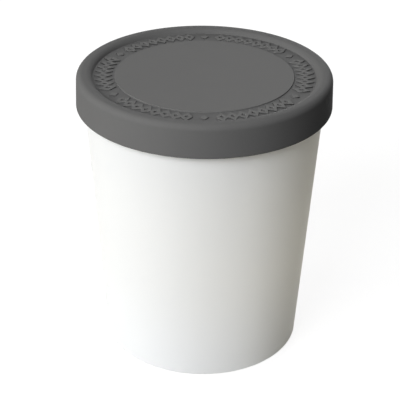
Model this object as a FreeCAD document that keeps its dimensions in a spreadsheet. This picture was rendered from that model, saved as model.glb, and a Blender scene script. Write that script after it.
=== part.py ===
import FreeCAD, Part
import math
import os

from FreeCAD import Placement, Rotation, Vector
import Sketcher

# A reusable round storage tub, shut with a flexible lid that caps its rim.
# The tub can't be seen into, so it is solid up to the underside of the lid.
# Frame: +Z up along the axis of the tub, origin at the centre of the foot. Millimetres and degrees.

SIZES = [
    # tub
    ("tub_height", 137.5, "foot to the top of the rim, under the lid"),
    ("base_radius", 48.0, "outside of the wall at the foot"),
    ("mouth_radius", 57.3, "outside of the wall at the rim"),
    ("rim_wall", 2.2, "thickness of the rim that stands in the lid's channel"),
    ("rim_round", 0.6, "rounding of the rim's two edges"),
    ("base_round", 0.6, "rounding of the wall into the foot"),
    ("foot_width", 4.0, "flat ring that the tub stands on"),
    ("foot_recess", 1.2, "how far the bottom is raised inside the foot"),
    # lid
    ("lid_height", 15.9, "lower lip of the skirt to the crest of the lid"),
    ("lid_wall", 2.5, "thickness of the lid over the rim and across the middle"),
    ("skirt_wall", 3.1, "thickness of the skirt at its lip"),
    ("skirt_draft", 0.5, "how much narrower the skirt is at the top"),
    ("rim_gap", 0.15, "room round the rim in the lid's channel"),
    ("shoulder_round", 3.0, "rounding of the skirt into the crest"),
    ("lip_round", 0.6, "rounding of the lip outside"),
    ("lip_inner_round", 0.6, "rounding of the lip inside"),
    ("crest_round", 3.2, "rounding of the crest into the sunken middle"),
    ("valley_round", 0.5, "rounding at the bottom of that slope"),
    ("panel_drop", 2.35, "crest down to the sunken band"),
    ("slope_run", 1.2, "width of the slope from the crest down to the band"),
    ("band_width", 10.4, "width of the sunken band"),
    ("disc_rise", 0.5, "how far the middle disc stands above the band"),
    # raised ornament on the band
    ("relief_height", 0.5, "how far the ornament stands above the band"),
    ("relief_draft", 8.0, "slope of the ornament's sides, in degrees"),
    ("outer_margin", 0.9, "band left bare outside the ornament"),
    ("inner_margin", 1.1, "band left bare between the ornament and the disc"),
    ("lozenge_stroke", 1.6, "width of a lozenge's outline"),
    ("lozenge_link", 0.8, "how far the tips of two neighbours run into each other"),
    ("lozenge_step", 5.9, "angle from one lozenge to the next, in degrees"),
    ("stud_length", 4.4, "diamond stud between two chains, across the band"),
    ("stud_width", 3.8, "the same stud, along the band"),
    ("first_stud_angle", 30.0, "where the first diamond stud stands, in degrees"),
]
CHAIN_COUNT = 6         # chains of lozenges round the lid, with a stud between each two
LOZENGES_IN_CHAIN = 8

H_AXIS = -1             # the sketcher's own numbers for a sketch's axes
V_AXIS = -2
ORIGIN = (-1, 1)        # the sketcher's own number for a sketch's origin point
START, END = 1, 2       # the two ends of a line in a sketch


class Size:
    """A sheet value, or a sum of sheet values, held as its number and as its expression."""

    def __init__(self, number, text):
        self.number = number
        self.text = text

    def joined(self, sign, other, number):
        return Size(number, "(%s %s %s)" % (self.text, sign, other.text))

    def __add__(self, other):
        return self.joined("+", other, self.number + other.number)

    def __sub__(self, other):
        return self.joined("-", other, self.number - other.number)

    def __mul__(self, other):
        return self.joined("*", other, self.number * other.number)

    def __truediv__(self, other):
        return self.joined("/", other, self.number / other.number)

    def __neg__(self):
        return Size(-self.number, "(-%s)" % self.text)

    def root(self):
        return Size(math.sqrt(self.number), "sqrt(%s)" % self.text)


def plain(number):
    """A plain number for use among sheet values."""
    return Size(float(number), str(number))


def number_of(size):
    return 0.0 if size is None else size.number


def fill_sheet(doc):
    """Write the driving sizes into a sheet, one row each, and give them back by name."""
    sheet = doc.addObject("Spreadsheet::Sheet", "sizes")
    values = {}
    for row, (name, value, note) in enumerate(SIZES, start=1):
        sheet.set("A%d" % row, note)
        sheet.set("B%d" % row, str(value))
        sheet.setAlias("B%d" % row, name)
        values[name] = Size(value, "sizes.%s" % name)
    doc.recompute()
    return values


def new_body(doc, label):
    body = doc.addObject("PartDesign::Body", label + "_body")
    body.Label = label
    return body


def origin_feature(body, role):
    return [feature for feature in body.Origin.OriginFeatures if feature.Role == role][0]


def new_sketch(body, name, plane):
    sketch = body.newObject("Sketcher::SketchObject", name)
    sketch.AttachmentSupport = [(origin_feature(body, plane), "")]
    sketch.MapMode = "FlatFace"
    return sketch


def hold(sketch, kind, axis, line, name, size):
    """Hold a line's start at a size from the origin, or on the axis itself where there is no size."""
    if size is None:
        sketch.addConstraint(Sketcher.Constraint("PointOnObject", line, START, axis))
        return
    number = sketch.addConstraint(Sketcher.Constraint(kind, *ORIGIN, line, START, size.number))
    sketch.renameConstraint(number, name)
    sketch.setExpression("Constraints." + name, size.text)


def draw_outline(sketch, name, corners):
    """Draw a closed outline through corners (across, up). None stands for a place on the axis."""
    points = [Vector(number_of(across), number_of(up), 0) for across, up in corners]
    first = sketch.GeometryCount
    for here, after in zip(points, points[1:] + points[:1]):
        sketch.addGeometry(Part.LineSegment(here, after), False)
    count = len(corners)
    for index, (across, up) in enumerate(corners):
        line = first + index
        following = first + (index + 1) % count
        sketch.addConstraint(Sketcher.Constraint("Coincident", line, END, following, START))
        hold(sketch, "DistanceX", V_AXIS, line, "%s_across_%d" % (name, index), across)
        hold(sketch, "DistanceY", H_AXIS, line, "%s_up_%d" % (name, index), up)


def revolve(body, name, corners):
    """Turn an outline drawn in the XZ plane once round the Z axis."""
    sketch = new_sketch(body, name + "_outline", "XZ_Plane")
    draw_outline(sketch, name, corners)
    turned = body.newObject("PartDesign::Revolution", name)
    turned.Profile = sketch
    turned.ReferenceAxis = (sketch, ["V_Axis"])
    turned.Angle = 360.0
    body.Document.recompute()
    return turned


def ring_edge(feature, radius, height):
    """Name of the feature's circular edge of this radius at this height."""
    for number, edge in enumerate(feature.Shape.Edges, start=1):
        curve = edge.Curve
        if not isinstance(curve, Part.Circle):
            continue
        if abs(curve.Radius - radius.number) < 1e-4 and abs(curve.Center.z - height.number) < 1e-4:
            return "Edge%d" % number
    raise ValueError("%s has no edge of radius %.2f at height %.2f" % (feature.Name, radius.number, height.number))


def round_rings(body, name, feature, radius, rings):
    """Round the circular edges given as (radius, height)."""
    fillet = body.newObject("PartDesign::Fillet", name)
    fillet.Base = (feature, [ring_edge(feature, *ring) for ring in rings])
    fillet.setExpression("Radius", radius.text)
    body.Document.recompute()
    return fillet


def make_tub(doc, size, levels):
    """The tapered tub, with the rim that the lid grips and a shallow recess under the foot."""
    body = new_body(doc, "tub")
    rim_inner = size["mouth_radius"] - size["rim_wall"]
    height = size["tub_height"]
    shell = revolve(body, "wall", [
        (None, None),
        (size["base_radius"], None),
        (size["mouth_radius"], height),
        (rim_inner, height),
        (rim_inner, levels["panel_underside"]),
        (None, levels["panel_underside"]),
    ])

    recess_sketch = new_sketch(body, "foot_recess_outline", "XY_Plane")
    recess_radius = size["base_radius"] - size["base_round"] - size["foot_width"]
    recess_sketch.addGeometry(Part.Circle(Vector(0, 0, 0), Vector(0, 0, 1), recess_radius.number), False)
    recess_sketch.addConstraint(Sketcher.Constraint("Coincident", 0, 3, *ORIGIN))
    number = recess_sketch.addConstraint(Sketcher.Constraint("Radius", 0, recess_radius.number))
    recess_sketch.renameConstraint(number, "recess_radius")
    recess_sketch.setExpression("Constraints.recess_radius", recess_radius.text)
    recess = body.newObject("PartDesign::Pocket", "foot_recess")
    recess.Profile = recess_sketch
    recess.Reversed = True
    recess.setExpression("Length", size["foot_recess"].text)
    doc.recompute()
    if recess.Shape.Volume >= shell.Shape.Volume:
        raise ValueError("the foot recess cuts nothing")

    foot = plain(0)
    feature = round_rings(body, "foot_rounding", recess, size["base_round"], [
        (size["base_radius"], foot),
        (recess_radius, foot),
    ])
    round_rings(body, "rim_rounding", feature, size["rim_round"], [
        (size["mouth_radius"], height),
        (rim_inner, height),
    ])
    return body


def make_lid(doc, size, levels):
    """The flexible lid: a crest over the rim, a skirt outside it, and a sunken middle with a raised disc."""
    body = new_body(doc, "lid")
    channel_outer = size["mouth_radius"] + size["rim_gap"]
    channel_inner = size["mouth_radius"] - size["rim_wall"] - size["rim_gap"]
    lip_radius = channel_outer + size["skirt_wall"]
    shoulder_radius = lip_radius - size["skirt_draft"]
    band_outer = channel_inner - size["lid_wall"]
    crest_inner = band_outer + size["slope_run"]
    disc_radius = band_outer - size["band_width"]
    crest, lip, band = levels["crest"], levels["lip"], levels["band"]
    feature = revolve(body, "cap", [
        (channel_outer, lip),
        (lip_radius, lip),
        (shoulder_radius, crest),
        (crest_inner, crest),
        (band_outer, band),
        (disc_radius, band),
        (disc_radius, levels["disc"]),
        (None, levels["disc"]),
        (None, levels["panel_underside"]),
        (channel_inner, levels["panel_underside"]),
        (channel_inner, size["tub_height"]),
        (channel_outer, size["tub_height"]),
    ])
    for name, radius, ring in (
        ("shoulder_rounding", size["shoulder_round"], (shoulder_radius, crest)),
        ("lip_rounding", size["lip_round"], (lip_radius, lip)),
        ("lip_inner_rounding", size["lip_inner_round"], (channel_outer, lip)),
        ("crest_rounding", size["crest_round"], (crest_inner, crest)),
        ("valley_rounding", size["valley_round"], (band_outer, band)),
    ):
        feature = round_rings(body, name, feature, radius, [ring])
    add_ornament(body, size, disc_radius + size["inner_margin"], band_outer - size["outer_margin"], band)
    return body


def raise_relief(body, name, outlines, angle, band, size):
    """Raise outlines drawn along the X axis off the band, turned to an angle about the Z axis."""
    sketch = new_sketch(body, name + "_outline", "XY_Plane")
    sketch.AttachmentOffset = Placement(Vector(0, 0, band.number), Rotation(Vector(0, 0, 1), angle.number))
    sketch.setExpression("AttachmentOffset.Base.z", band.text)
    sketch.setExpression("AttachmentOffset.Rotation.Angle", angle.text)
    for number, corners in enumerate(outlines):
        draw_outline(sketch, "outline%d" % number, corners)
    pad = body.newObject("PartDesign::Pad", name)
    pad.Profile = sketch
    pad.setExpression("Length", size["relief_height"].text)
    pad.setExpression("TaperAngle", (-size["relief_draft"]).text)
    body.Document.recompute()
    return pad


def repeat_round(body, name, pad, steps, step_angle):
    """Repeat a raised element at steps along its chain, and the chain round the Z axis."""
    axis = (origin_feature(body, "Z_Axis"), [""])
    repeated = body.newObject("PartDesign::MultiTransform", name)
    repeated.Originals = [pad]
    around = body.newObject("PartDesign::PolarPattern", name + "_around")
    around.Axis = axis
    around.Angle = 360.0
    around.Occurrences = CHAIN_COUNT
    repeated.Transformations = [around]
    if steps > 1:
        along = body.newObject("PartDesign::PolarPattern", name + "_along_chain")
        along.Axis = axis
        along.Occurrences = steps
        along.setExpression("Angle", (step_angle * plain(steps - 1)).text)
        repeated.Transformations = [along, around]
    body.Tip = repeated
    body.Document.recompute()


def add_ornament(body, size, inner_end, outer_end, band):
    """Chains of hollow lozenges, linked at their tips, with a diamond stud between the chains."""
    half_length = (outer_end - inner_end) / plain(2)
    middle = inner_end + half_length
    pitch = middle * size["lozenge_step"] * plain(math.radians(1))
    half_width = (pitch + size["lozenge_link"]) / plain(2)
    side = (half_length * half_length + half_width * half_width).root()
    hole_length = half_length - size["lozenge_stroke"] * side / half_width
    hole_width = half_width - size["lozenge_stroke"] * side / half_length
    lozenge = [diamond(middle, half_length, half_width), diamond(middle, hole_length, hole_width)]
    chain_middle = size["first_stud_angle"] + plain(180.0 / CHAIN_COUNT)
    first_angle = chain_middle - size["lozenge_step"] * plain((LOZENGES_IN_CHAIN - 1) / 2)
    pad = raise_relief(body, "lozenge", lozenge, first_angle, band, size)
    repeat_round(body, "lozenge_chains", pad, LOZENGES_IN_CHAIN, size["lozenge_step"])

    stud = [diamond(middle, size["stud_length"] / plain(2), size["stud_width"] / plain(2))]
    pad = raise_relief(body, "stud", stud, size["first_stud_angle"], band, size)
    repeat_round(body, "studs_round", pad, 1, size["lozenge_step"])


def diamond(middle, half_length, half_width):
    """Corners of a diamond that lies across the band."""
    return [(middle - half_length, None), (middle, -half_width), (middle + half_length, None), (middle, half_width)]


def shared_levels(size):
    """Heights that the tub and the lid have in common, or that the lid's outline is built on."""
    crest = size["tub_height"] + size["lid_wall"]
    band = crest - size["panel_drop"]
    return {
        "crest": crest,
        "lip": crest - size["lid_height"],
        "band": band,
        "disc": band + size["disc_rise"],
        "panel_underside": band - size["lid_wall"],
    }


def check_and_write(doc, bodies):
    """Stop if anything failed, then write each sub-part's solid under its label."""
    for item in doc.Objects:
        if "Invalid" in item.State or "Error" in item.State:
            raise ValueError("%s failed: %s" % (item.Name, item.State))
    for body in bodies:
        shape = body.Shape
        if shape.isNull() or not shape.isValid() or len(shape.Solids) != 1:
            raise ValueError("%s is not one valid solid" % body.Label)
    os.makedirs("parts", exist_ok=True)
    for body in bodies:
        body.Shape.exportStep("parts/%s.step" % body.Label)
        box = body.Shape.BoundBox
        print("%s: %.2f x %.2f x %.2f mm, from %.2f up, %.1f cm3, %d faces" % (
            body.Label, box.XLength, box.YLength, box.ZLength, box.ZMin, body.Shape.Volume / 1000,
            len(body.Shape.Faces)))


def main():
    doc = FreeCAD.newDocument("storage_tub")
    size = fill_sheet(doc)
    levels = shared_levels(size)
    bodies = [make_tub(doc, size, levels), make_lid(doc, size, levels)]
    doc.recompute()
    check_and_write(doc, bodies)


main()
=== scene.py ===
"""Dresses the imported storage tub: milky white plastic with a dark grey silicone lid, on a pale floor."""
import math

import bmesh
import bpy
from mathutils import Matrix, Vector


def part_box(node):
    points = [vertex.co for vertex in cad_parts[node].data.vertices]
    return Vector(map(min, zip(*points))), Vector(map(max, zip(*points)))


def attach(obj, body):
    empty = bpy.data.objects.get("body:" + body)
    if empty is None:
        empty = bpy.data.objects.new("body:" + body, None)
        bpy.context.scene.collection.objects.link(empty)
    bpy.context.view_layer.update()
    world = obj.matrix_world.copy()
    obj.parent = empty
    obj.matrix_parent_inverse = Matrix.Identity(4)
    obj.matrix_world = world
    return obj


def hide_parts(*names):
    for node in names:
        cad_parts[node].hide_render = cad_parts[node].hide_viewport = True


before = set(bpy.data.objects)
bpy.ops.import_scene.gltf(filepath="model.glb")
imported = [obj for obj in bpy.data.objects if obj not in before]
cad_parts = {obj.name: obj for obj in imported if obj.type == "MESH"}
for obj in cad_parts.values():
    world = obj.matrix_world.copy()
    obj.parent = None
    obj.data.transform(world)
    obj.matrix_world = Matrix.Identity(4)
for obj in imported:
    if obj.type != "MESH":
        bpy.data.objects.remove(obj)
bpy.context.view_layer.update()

MM = 0.001

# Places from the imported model, in metres.
tub_low, tub_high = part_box("tub")
lid_low, lid_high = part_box("lid")
FOOT = tub_low.z                    # what the tub stands on
RIM_TOP = tub_high.z                # top of the tub's rim, under the lid
LIP = lid_low.z                     # lower edge of the lid's skirt
CREST = lid_high.z                  # highest part of the lid

# Sizes of the tub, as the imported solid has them.
BASE_RADIUS = 48.0 * MM
MOUTH_RADIUS = 57.3 * MM
RIM_WALL = 2.2 * MM
RIM_ROUND = 0.6 * MM
BASE_ROUND = 0.6 * MM
FOOT_WIDTH = 4.0 * MM
FOOT_RECESS = 1.2 * MM

# Sizes of the lid.
LID_WALL = 2.5 * MM
SKIRT_WALL = 3.1 * MM
SKIRT_DRAFT = 0.5 * MM
RIM_GAP = 0.15 * MM
SHOULDER_ROUND = 3.0 * MM
LIP_ROUND = 0.6 * MM
LIP_INNER_ROUND = 0.6 * MM
CREST_ROUND = 3.2 * MM
VALLEY_ROUND = 0.5 * MM
PANEL_DROP = 2.35 * MM
SLOPE_RUN = 1.2 * MM
BAND_WIDTH = 10.4 * MM
DISC_RISE = 0.5 * MM
DISC_ROUND = 0.22 * MM

CHANNEL_OUTER = MOUTH_RADIUS + RIM_GAP
CHANNEL_INNER = MOUTH_RADIUS - RIM_WALL - RIM_GAP
BAND_OUTER = CHANNEL_INNER - LID_WALL
DISC_RADIUS = BAND_OUTER - BAND_WIDTH
BAND = CREST - PANEL_DROP
PANEL_UNDERSIDE = BAND - LID_WALL

# Sizes of the raised ornament on the band.
RELIEF = 0.5 * MM
RELIEF_ROUND = 0.2 * MM
SEAT_DEPTH = 0.2 * MM               # how far the ornament is rooted in the band
OUTER_MARGIN = 0.9 * MM
INNER_MARGIN = 1.1 * MM
LOZENGE_STROKE = 1.6 * MM
LOZENGE_LINK = 0.8 * MM
LOZENGE_STEP = math.radians(5.9)
STUD_LENGTH = 4.4 * MM
STUD_WIDTH = 3.8 * MM
FIRST_STUD = math.radians(30)
CHAINS = 6
LOZENGES_IN_CHAIN = 8
ORNAMENT_LENGTH = BAND_WIDTH - OUTER_MARGIN - INNER_MARGIN
ORNAMENT_MIDDLE = DISC_RADIUS + INNER_MARGIN + ORNAMENT_LENGTH / 2

FULL_TURN = 2 * math.pi
TURN_STEPS = 224                    # facets round a turned piece
CORNER_STEPS = 6                    # facets in a rounded corner
RELIEF_STEPS = 3                    # facets in a rounded edge of the ornament
RIM_ANGLE = math.radians(30)        # a top and a side meet more sharply than this
TOUCH = 1e-6                        # two points nearer than this are one


# ---------------------------------------------------------------- modelling

def near(place, other):
    return (place - other).length < TOUCH


def start_piece(name, add_primitive, **settings):
    """Add a primitive with nothing else selected, and open it for editing with all of it selected."""
    bpy.ops.object.select_all(action="DESELECT")
    add_primitive(**settings)
    piece = bpy.context.object
    piece.name = name
    bpy.ops.object.transform_apply(location=True, rotation=True, scale=True)
    bpy.ops.object.mode_set(mode="EDIT")
    bpy.ops.mesh.select_all(action="SELECT")
    return piece


def select_vertices(piece, wanted):
    """Select the vertices for which wanted(place) is true."""
    bpy.ops.mesh.select_mode(type="VERT")
    bpy.ops.mesh.select_all(action="DESELECT")
    mesh = bmesh.from_edit_mesh(piece.data)
    for vertex in mesh.verts:
        vertex.select = wanted(vertex.co)
    mesh.select_flush_mode()
    bmesh.update_edit_mesh(piece.data)


def select_rims(piece, height):
    """Select the edges at a height where a flat top meets a side."""
    bpy.ops.mesh.select_mode(type="EDGE")
    bpy.ops.mesh.select_all(action="DESELECT")
    mesh = bmesh.from_edit_mesh(piece.data)
    for edge in mesh.edges:
        level = all(abs(vertex.co.z - height) < TOUCH for vertex in edge.verts)
        edge.select = level and edge.calc_face_angle(0) > RIM_ANGLE
    mesh.select_flush_mode()
    bmesh.update_edit_mesh(piece.data)


def finish_piece(piece, material):
    """Close the mesh, smooth it so that its flats stay flat, and fix it to the object."""
    bpy.ops.mesh.select_mode(type="VERT")
    bpy.ops.mesh.select_all(action="SELECT")
    bpy.ops.mesh.remove_doubles(threshold=TOUCH)
    bpy.ops.mesh.normals_make_consistent(inside=False)
    bpy.ops.object.mode_set(mode="OBJECT")
    bpy.ops.object.shade_smooth()
    weighted = piece.modifiers.new("flat_faces_lead", "WEIGHTED_NORMAL")
    bpy.ops.object.modifier_apply(modifier=weighted.name)
    piece.data.materials.clear()
    piece.data.materials.append(material)
    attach(piece, "root")


def turn_piece(name, section):
    """Draw a section point by point in the XZ plane, round its corners, and spin it once round Z.

    section holds (radius, height, rounding) for each corner, from axis to axis or in a closed loop.
    """
    places = [Vector((radius, 0, height)) for radius, height, rounding in section]
    piece = start_piece(name, bpy.ops.mesh.primitive_plane_add, size=MM, location=places[0])
    bpy.ops.mesh.merge(type="CENTER")
    for here, after in zip(places, places[1:]):
        bpy.ops.mesh.extrude_region_move(TRANSFORM_OT_translate={"value": after - here})
    if places[0].x > 0:
        select_vertices(piece, lambda place: near(place, places[0]) or near(place, places[-1]))
        bpy.ops.mesh.edge_face_add()
    for index, (radius, height, rounding) in enumerate(section):
        if rounding > 0:
            corner = places[index]
            before = corner - places[index - 1]
            after = places[(index + 1) % len(places)] - corner
            select_vertices(piece, lambda place: near(place, corner))
            bpy.ops.mesh.bevel(
                offset=rounding * math.tan(before.angle(after) / 2),
                segments=CORNER_STEPS,
                affect="VERTICES",
            )
    bpy.ops.mesh.select_all(action="SELECT")
    bpy.ops.mesh.spin(steps=TURN_STEPS, angle=FULL_TURN, center=(0, 0, 0), axis=(0, 0, 1))
    return piece


def make_tub(material):
    """The tapered tub, its rim under the lid and the shallow recess under its foot."""
    recess_radius = BASE_RADIUS - BASE_ROUND - FOOT_WIDTH
    piece = turn_piece("tub_body", [
        (0, FOOT + FOOT_RECESS, 0),
        (recess_radius, FOOT + FOOT_RECESS, BASE_ROUND / 2),
        (recess_radius, FOOT, BASE_ROUND),
        (BASE_RADIUS, FOOT, BASE_ROUND),
        (MOUTH_RADIUS, RIM_TOP, RIM_ROUND),
        (MOUTH_RADIUS - RIM_WALL, RIM_TOP, RIM_ROUND),
        (MOUTH_RADIUS - RIM_WALL, PANEL_UNDERSIDE, 0),
        (0, PANEL_UNDERSIDE, 0),
    ])
    finish_piece(piece, material)
    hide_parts("tub")


def make_lid(material):
    """The lid's cap: a skirt with a soft lip, a rounded crest, and a sunken band round a raised disc."""
    lip_radius = CHANNEL_OUTER + SKIRT_WALL
    piece = turn_piece("lid_cap", [
        (0, PANEL_UNDERSIDE, 0),
        (CHANNEL_INNER, PANEL_UNDERSIDE, 0),
        (CHANNEL_INNER, RIM_TOP, 0),
        (CHANNEL_OUTER, RIM_TOP, 0),
        (CHANNEL_OUTER, LIP, LIP_INNER_ROUND),
        (lip_radius, LIP, LIP_ROUND),
        (lip_radius - SKIRT_DRAFT, CREST, SHOULDER_ROUND),
        (BAND_OUTER + SLOPE_RUN, CREST, CREST_ROUND),
        (BAND_OUTER, BAND, VALLEY_ROUND),
        (DISC_RADIUS, BAND, DISC_ROUND),
        (DISC_RADIUS, BAND + DISC_RISE, DISC_ROUND),
        (0, BAND + DISC_RISE, 0),
    ])
    finish_piece(piece, material)
    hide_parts("lid")


def start_diamond(name, half_length, half_width):
    """A flat diamond that lies across the band on the +X side, rooted a little below its surface."""
    middle = Vector((ORNAMENT_MIDDLE, 0, BAND - SEAT_DEPTH))
    piece = start_piece(
        name,
        bpy.ops.mesh.primitive_circle_add,
        vertices=4,
        radius=1,
        fill_type="NGON",
        location=middle,
    )
    bpy.ops.transform.resize(value=(half_length, half_width, 1), center_override=middle)
    return piece


def raise_and_repeat(piece, turn):
    """Raise the flat outline off the band, round its top edges, and set it round the lid."""
    bpy.ops.mesh.select_all(action="SELECT")
    bpy.ops.mesh.extrude_region_move(TRANSFORM_OT_translate={"value": (0, 0, SEAT_DEPTH + RELIEF)})
    bpy.ops.mesh.select_all(action="SELECT")
    bpy.ops.mesh.normals_make_consistent(inside=False)
    select_rims(piece, BAND + RELIEF)
    bpy.ops.mesh.bevel(offset=RELIEF_ROUND, segments=RELIEF_STEPS, affect="EDGES")
    bpy.ops.mesh.select_all(action="SELECT")
    copies = CHAINS - 1
    bpy.ops.mesh.spin(
        dupli=True,
        steps=copies,
        angle=FULL_TURN * copies / CHAINS,
        center=(0, 0, 0),
        axis=(0, 0, 1),
    )
    bpy.ops.object.mode_set(mode="OBJECT")
    piece.rotation_euler.z = turn
    bpy.ops.object.transform_apply(location=True, rotation=True, scale=True)
    bpy.ops.object.mode_set(mode="EDIT")


def make_lozenges(material):
    """Chains of hollow lozenges joined side to side, cut from one lozenge and turned along the band."""
    half_width = (ORNAMENT_MIDDLE * LOZENGE_STEP + LOZENGE_LINK) / 2
    piece = start_diamond("lid_lozenges", ORNAMENT_LENGTH / 2, half_width)
    bpy.ops.mesh.inset(thickness=LOZENGE_STROKE, depth=0)
    bpy.ops.mesh.delete(type="FACE")
    half_step = LOZENGE_STEP / 2
    for side in (1, -1):
        bpy.ops.mesh.select_all(action="SELECT")
        bpy.ops.mesh.bisect(
            plane_co=(0, 0, 0),
            plane_no=(-math.sin(half_step), side * math.cos(half_step), 0),
            clear_outer=True,
        )
    bpy.ops.mesh.select_all(action="SELECT")
    links = LOZENGES_IN_CHAIN - 1
    bpy.ops.mesh.spin(
        dupli=True,
        steps=links,
        angle=links * LOZENGE_STEP,
        center=(0, 0, 0),
        axis=(0, 0, 1),
    )
    bpy.ops.mesh.select_all(action="SELECT")
    bpy.ops.mesh.remove_doubles(threshold=TOUCH)
    raise_and_repeat(piece, FIRST_STUD + math.pi / CHAINS + links * LOZENGE_STEP / 2)
    finish_piece(piece, material)


def make_studs(material):
    """One diamond stud between each two chains."""
    piece = start_diamond("lid_studs", STUD_LENGTH / 2, STUD_WIDTH / 2)
    raise_and_repeat(piece, FIRST_STUD)
    finish_piece(piece, material)


# ---------------------------------------------------------------- finishes

THIN_WALL = FOOT + 60 * MM          # the tub's wall passes its full share of light from here up
ORNAMENT_EDGE = BAND_OUTER - 0.8 * MM     # outside it, no part of the lid gets painted light
PAINTED_LIGHT_EDGE = BAND_OUTER - 1.2 * MM       # inside it, all that stands up from the band gets painted light
FLOOR_GREY = (0.2, 0.2, 0.2, 1)
FLOOR_GLOW = 0.85                   # what the lamps' light on the floor lacks of white
FLOOR_KEPT = 0.55                   # how far out the floor still shows light and shadow
FLOOR_LOST = 1.0                    # how far out it is plain white


class Socket:
    """An output of a node. Sums of sockets and numbers add their own Math nodes."""

    def __init__(self, finish, output):
        self.finish = finish
        self.output = output

    def __add__(self, other):
        return self.finish.math("ADD", self, other)

    __radd__ = __add__

    def __mul__(self, other):
        return self.finish.math("MULTIPLY", self, other)

    __rmul__ = __mul__

    def __sub__(self, other):
        return self.finish.math("SUBTRACT", self, other)

    def __rsub__(self, other):
        return self.finish.math("SUBTRACT", other, self)

    def __pow__(self, other):
        return self.finish.math("POWER", self, other)


class Finish:
    """A material or a world, and its nodes."""

    def __init__(self, owner):
        self.owner = owner
        owner.use_nodes = True
        self.tree = owner.node_tree
        self.tree.nodes.clear()

    def node(self, kind, settings, inputs, output=0):
        """Add a node: its settings first, then a number, a colour or a link for each of its inputs."""
        node = self.tree.nodes.new(kind)
        for name, value in settings.items():
            setattr(node, name, value)
        for name, value in inputs.items():
            if isinstance(value, Socket):
                self.tree.links.new(value.output, node.inputs[name])
            else:
                node.inputs[name].default_value = value
        return Socket(self, node.outputs[output]) if node.outputs else None

    def math(self, operation, first, second):
        return self.node("ShaderNodeMath", {"operation": operation}, {0: first, 1: second})

    def place(self, stretch=(1, 1, 1)):
        """Places on the object, in metres, stretched for a pattern that runs one way."""
        place = self.node("ShaderNodeTexCoord", {}, {}, "Object")
        return self.node("ShaderNodeMapping", {}, {"Vector": place, "Scale": stretch})

    def height(self, place):
        return self.node("ShaderNodeSeparateXYZ", {}, {0: place}, "Z")

    def radius(self, place):
        """The distance from the upright axis."""
        across, along = (self.node("ShaderNodeSeparateXYZ", {}, {0: place}, axis) for axis in "XY")
        return (across * across + along * along) ** 0.5

    def noise(self, place, grain, detail=2.0):
        """Cloudy noise from 0 to 1, whose clouds are about as large as grain."""
        inputs = {"Vector": place, "Scale": 1 / grain, "Detail": detail}
        return self.node("ShaderNodeTexNoise", {}, inputs, "Fac")

    def ramp(self, value, low, high, at_low=0.0, at_high=1.0):
        """Go smoothly from at_low to at_high as value goes from low to high."""
        inputs = {"Value": value, "From Min": low, "From Max": high, "To Min": at_low, "To Max": at_high}
        return self.node("ShaderNodeMapRange", {"interpolation_type": "SMOOTHSTEP"}, inputs)

    def mix(self, share, first, second):
        """The first colour, with this share of the second."""
        return self.node("ShaderNodeMix", {"data_type": "RGBA"}, {0: share, 6: first, 7: second}, 2)

    def bump(self, height, depth, strength):
        inputs = {"Height": height, "Distance": depth, "Strength": strength}
        return self.node("ShaderNodeBump", {}, inputs)

    def shows_surroundings(self):
        """1 for a ray to the camera, in a reflection or through plastic, which shows the white around."""
        kinds = ("Is Camera Ray", "Is Glossy Ray", "Is Transmission Ray")
        camera, glossy, passed = (self.node("ShaderNodeLightPath", {}, {}, kind) for kind in kinds)
        return self.math("MAXIMUM", self.math("MAXIMUM", camera, glossy), passed)

    def surface(self, shader):
        """Make this shader the surface, and give back the material."""
        self.node("ShaderNodeOutputMaterial", {}, {"Surface": shader})
        return self.owner


def milky_plastic():
    """White plastic: satin, faintly cloudy, and thin enough to let light through.

    Its colour is painted darker and cooler towards the foot, as painted shade. The foot is thicker, so it
    lets less through.
    """
    finish = Finish(bpy.data.materials.new("tub_milky_plastic"))
    place = finish.place()
    clouds = finish.noise(place, 45 * MM)
    skin = finish.noise(place, 1.1 * MM, detail=3.0)
    flow = finish.noise(finish.place((1, 1, 0.06)), 5 * MM)
    height = finish.height(place)
    # painted shade: the colour darkens and cools towards the foot; the clouds are the plastic's own uneven
    # tone
    painted_light_and_mottle = 0.85 * finish.ramp(height, FOOT, RIM_TOP) + 0.15 * finish.ramp(clouds, 0.35, 0.65)
    colour = finish.mix(painted_light_and_mottle, (0.824, 0.85, 0.889, 1), (0.858, 0.878, 0.9, 1))
    skin_bump = finish.bump(skin, 0.02 * MM, 0.25)
    satin = finish.node("ShaderNodeBsdfPrincipled", {}, {
        "Base Color": colour,
        "Roughness": 0.34 + flow * 0.08 + skin * 0.04,
        "IOR": 1.49,
        "Specular IOR Level": 0.04,
        "Diffuse Roughness": 0.5,
        "Normal": skin_bump,
    })
    passed = finish.node("ShaderNodeBsdfTranslucent", {}, {"Color": (0.985, 0.942, 0.83, 1)})
    share_passed = finish.ramp(height, FOOT, THIN_WALL, 0.25, 0.35)
    return finish.surface(finish.node("ShaderNodeMixShader", {}, {0: share_passed, 1: satin, 2: passed}))


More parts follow.
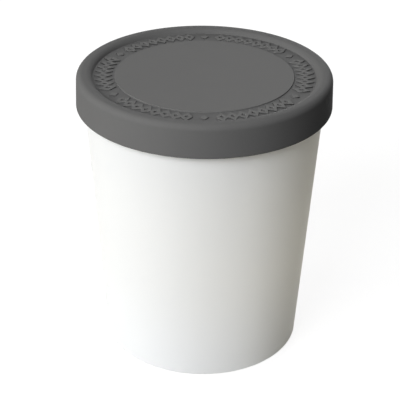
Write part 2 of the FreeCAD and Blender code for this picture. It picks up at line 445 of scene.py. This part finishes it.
def grey_silicone():
    """Dark grey silicone: matte, a little mottled, with a painted highlight that makes the tops of the
    ornament and the disc lighter.
    """
    finish = Finish(bpy.data.materials.new("lid_grey_silicone"))
    place = finish.place()
    mottle = finish.noise(place, 16 * MM, detail=3.0)
    speckle = finish.noise(place, 0.7 * MM, detail=2.0)
    # painted highlight: the tops of the ornament and the disc are painted lighter than the band, the crest
    # past the ornament is not
    past_ornament = finish.ramp(finish.radius(place), PAINTED_LIGHT_EDGE, ORNAMENT_EDGE)
    raised = finish.ramp(finish.height(place), BAND + RELIEF / 2, BAND + RELIEF) * (1 - past_ornament)
    painted_light_and_mottle = 0.15 * finish.ramp(mottle, 0.3, 0.7) + 0.1 * finish.ramp(speckle, 0.3, 0.7) + 0.75 * raised
    colour = finish.mix(painted_light_and_mottle, (0.112, 0.112, 0.112, 1), (0.134, 0.134, 0.133, 1))
    return finish.surface(finish.node("ShaderNodeBsdfPrincipled", {}, {
        "Base Color": colour,
        "Roughness": 0.56 + mottle * 0.08 + speckle * 0.06,
        "IOR": 1.41,
        "Specular IOR Level": 0.01,
        "Normal": finish.bump(speckle, 0.03 * MM, 0.3),
    }))


def studio_floor():
    """Pale floor, lifted to plain white for the rays that show the surroundings, and lost far off."""
    finish = Finish(bpy.data.materials.new("studio_floor"))
    white = finish.shows_surroundings()
    diffuse = finish.node("ShaderNodeBsdfDiffuse", {}, {"Color": FLOOR_GREY})
    glow = finish.node("ShaderNodeEmission", {}, {"Strength": white * FLOOR_GLOW})
    near_by = finish.node("ShaderNodeAddShader", {}, {0: diffuse, 1: glow})
    far_off = finish.node("ShaderNodeEmission", {}, {"Strength": white})
    share_far = finish.ramp(finish.radius(finish.place()), FLOOR_KEPT, FLOOR_LOST)
    return finish.surface(finish.node("ShaderNodeMixShader", {}, {0: share_far, 1: near_by, 2: far_off}))


# ---------------------------------------------------------------- studio

AIM = Vector((-0.0015, 0, 0.0707))  # where the camera looks, a hair off the tub's axis
CAMERA_DISTANCE = 0.628
CAMERA_ELEVATION = math.radians(28.9)
CAMERA_ROLL = math.radians(0.66)
CAMERA_LENS = 114.4                 # in mm, on a sensor 36 mm wide
AMBIENT = 0.09                      # light from all round, where 1 is white
FLOOR_SIZE = 8
LAMP_DISTANCE = 1.2
PLAIN = (1, 1, 1)
WARM = (1, 0.975, 0.92)
LAMPS = (
    # name, azimuth and elevation in degrees, width in metres, power in watts, colour
    ("side_lamp", 184, 12, 0.5, 6.6, WARM),
    ("key_lamp", 236, 32, 0.7, 16.0, PLAIN),
    ("back_lamp", 75, 14, 0.6, 10.0, PLAIN),
    ("top_lamp", 90, 80, 0.7, 2.0, PLAIN),
)


def towards(azimuth, elevation):
    """A unit direction. Azimuth 0 is +X and 90 is +Y."""
    return Vector((
        math.cos(azimuth) * math.cos(elevation),
        math.sin(azimuth) * math.cos(elevation),
        math.sin(elevation),
    ))


def add_camera():
    camera = bpy.data.objects.new("camera", bpy.data.cameras.new("camera"))
    bpy.context.scene.collection.objects.link(camera)
    camera.data.lens = CAMERA_LENS
    back = towards(math.radians(-90), CAMERA_ELEVATION)
    facing = back.to_track_quat("Z", "Y").to_matrix().to_4x4()
    roll = Matrix.Rotation(CAMERA_ROLL, 4, "Z")
    camera.matrix_world = Matrix.Translation(AIM + back * CAMERA_DISTANCE) @ facing @ roll
    bpy.context.scene.camera = camera


def add_lamp(name, azimuth, elevation, width, power, colour):
    """A square soft lamp that faces the tub."""
    lamp = bpy.data.objects.new(name, bpy.data.lights.new(name, "AREA"))
    bpy.context.scene.collection.objects.link(lamp)
    lamp.data.size = width
    lamp.data.energy = power
    lamp.data.color = colour
    back = towards(math.radians(azimuth), math.radians(elevation))
    lamp.location = AIM + back * LAMP_DISTANCE
    lamp.rotation_euler = back.to_track_quat("Z", "Y").to_euler()


def add_floor():
    bpy.ops.object.select_all(action="DESELECT")
    bpy.ops.mesh.primitive_plane_add(size=FLOOR_SIZE, location=(0, 0, FOOT))
    floor = bpy.context.object
    floor.name = "floor"
    floor.data.materials.append(studio_floor())


def light_world():
    """Plain white where it is seen past the floor, and faint light from all round."""
    world = bpy.data.worlds.new("studio")
    bpy.context.scene.world = world
    finish = Finish(world)
    strength = finish.ramp(finish.shows_surroundings(), 0, 1, AMBIENT, 1.0)
    background = finish.node("ShaderNodeBackground", {}, {"Color": (*PLAIN, 1), "Strength": strength})
    finish.node("ShaderNodeOutputWorld", {}, {"Surface": background})


def build():
    add_camera()
    add_floor()
    light_world()
    for lamp in LAMPS:
        add_lamp(*lamp)
    make_tub(milky_plastic())
    silicone = grey_silicone()
    make_lid(silicone)
    make_lozenges(silicone)
    make_studs(silicone)
    bpy.context.scene.view_settings.view_transform = "Standard"


build()
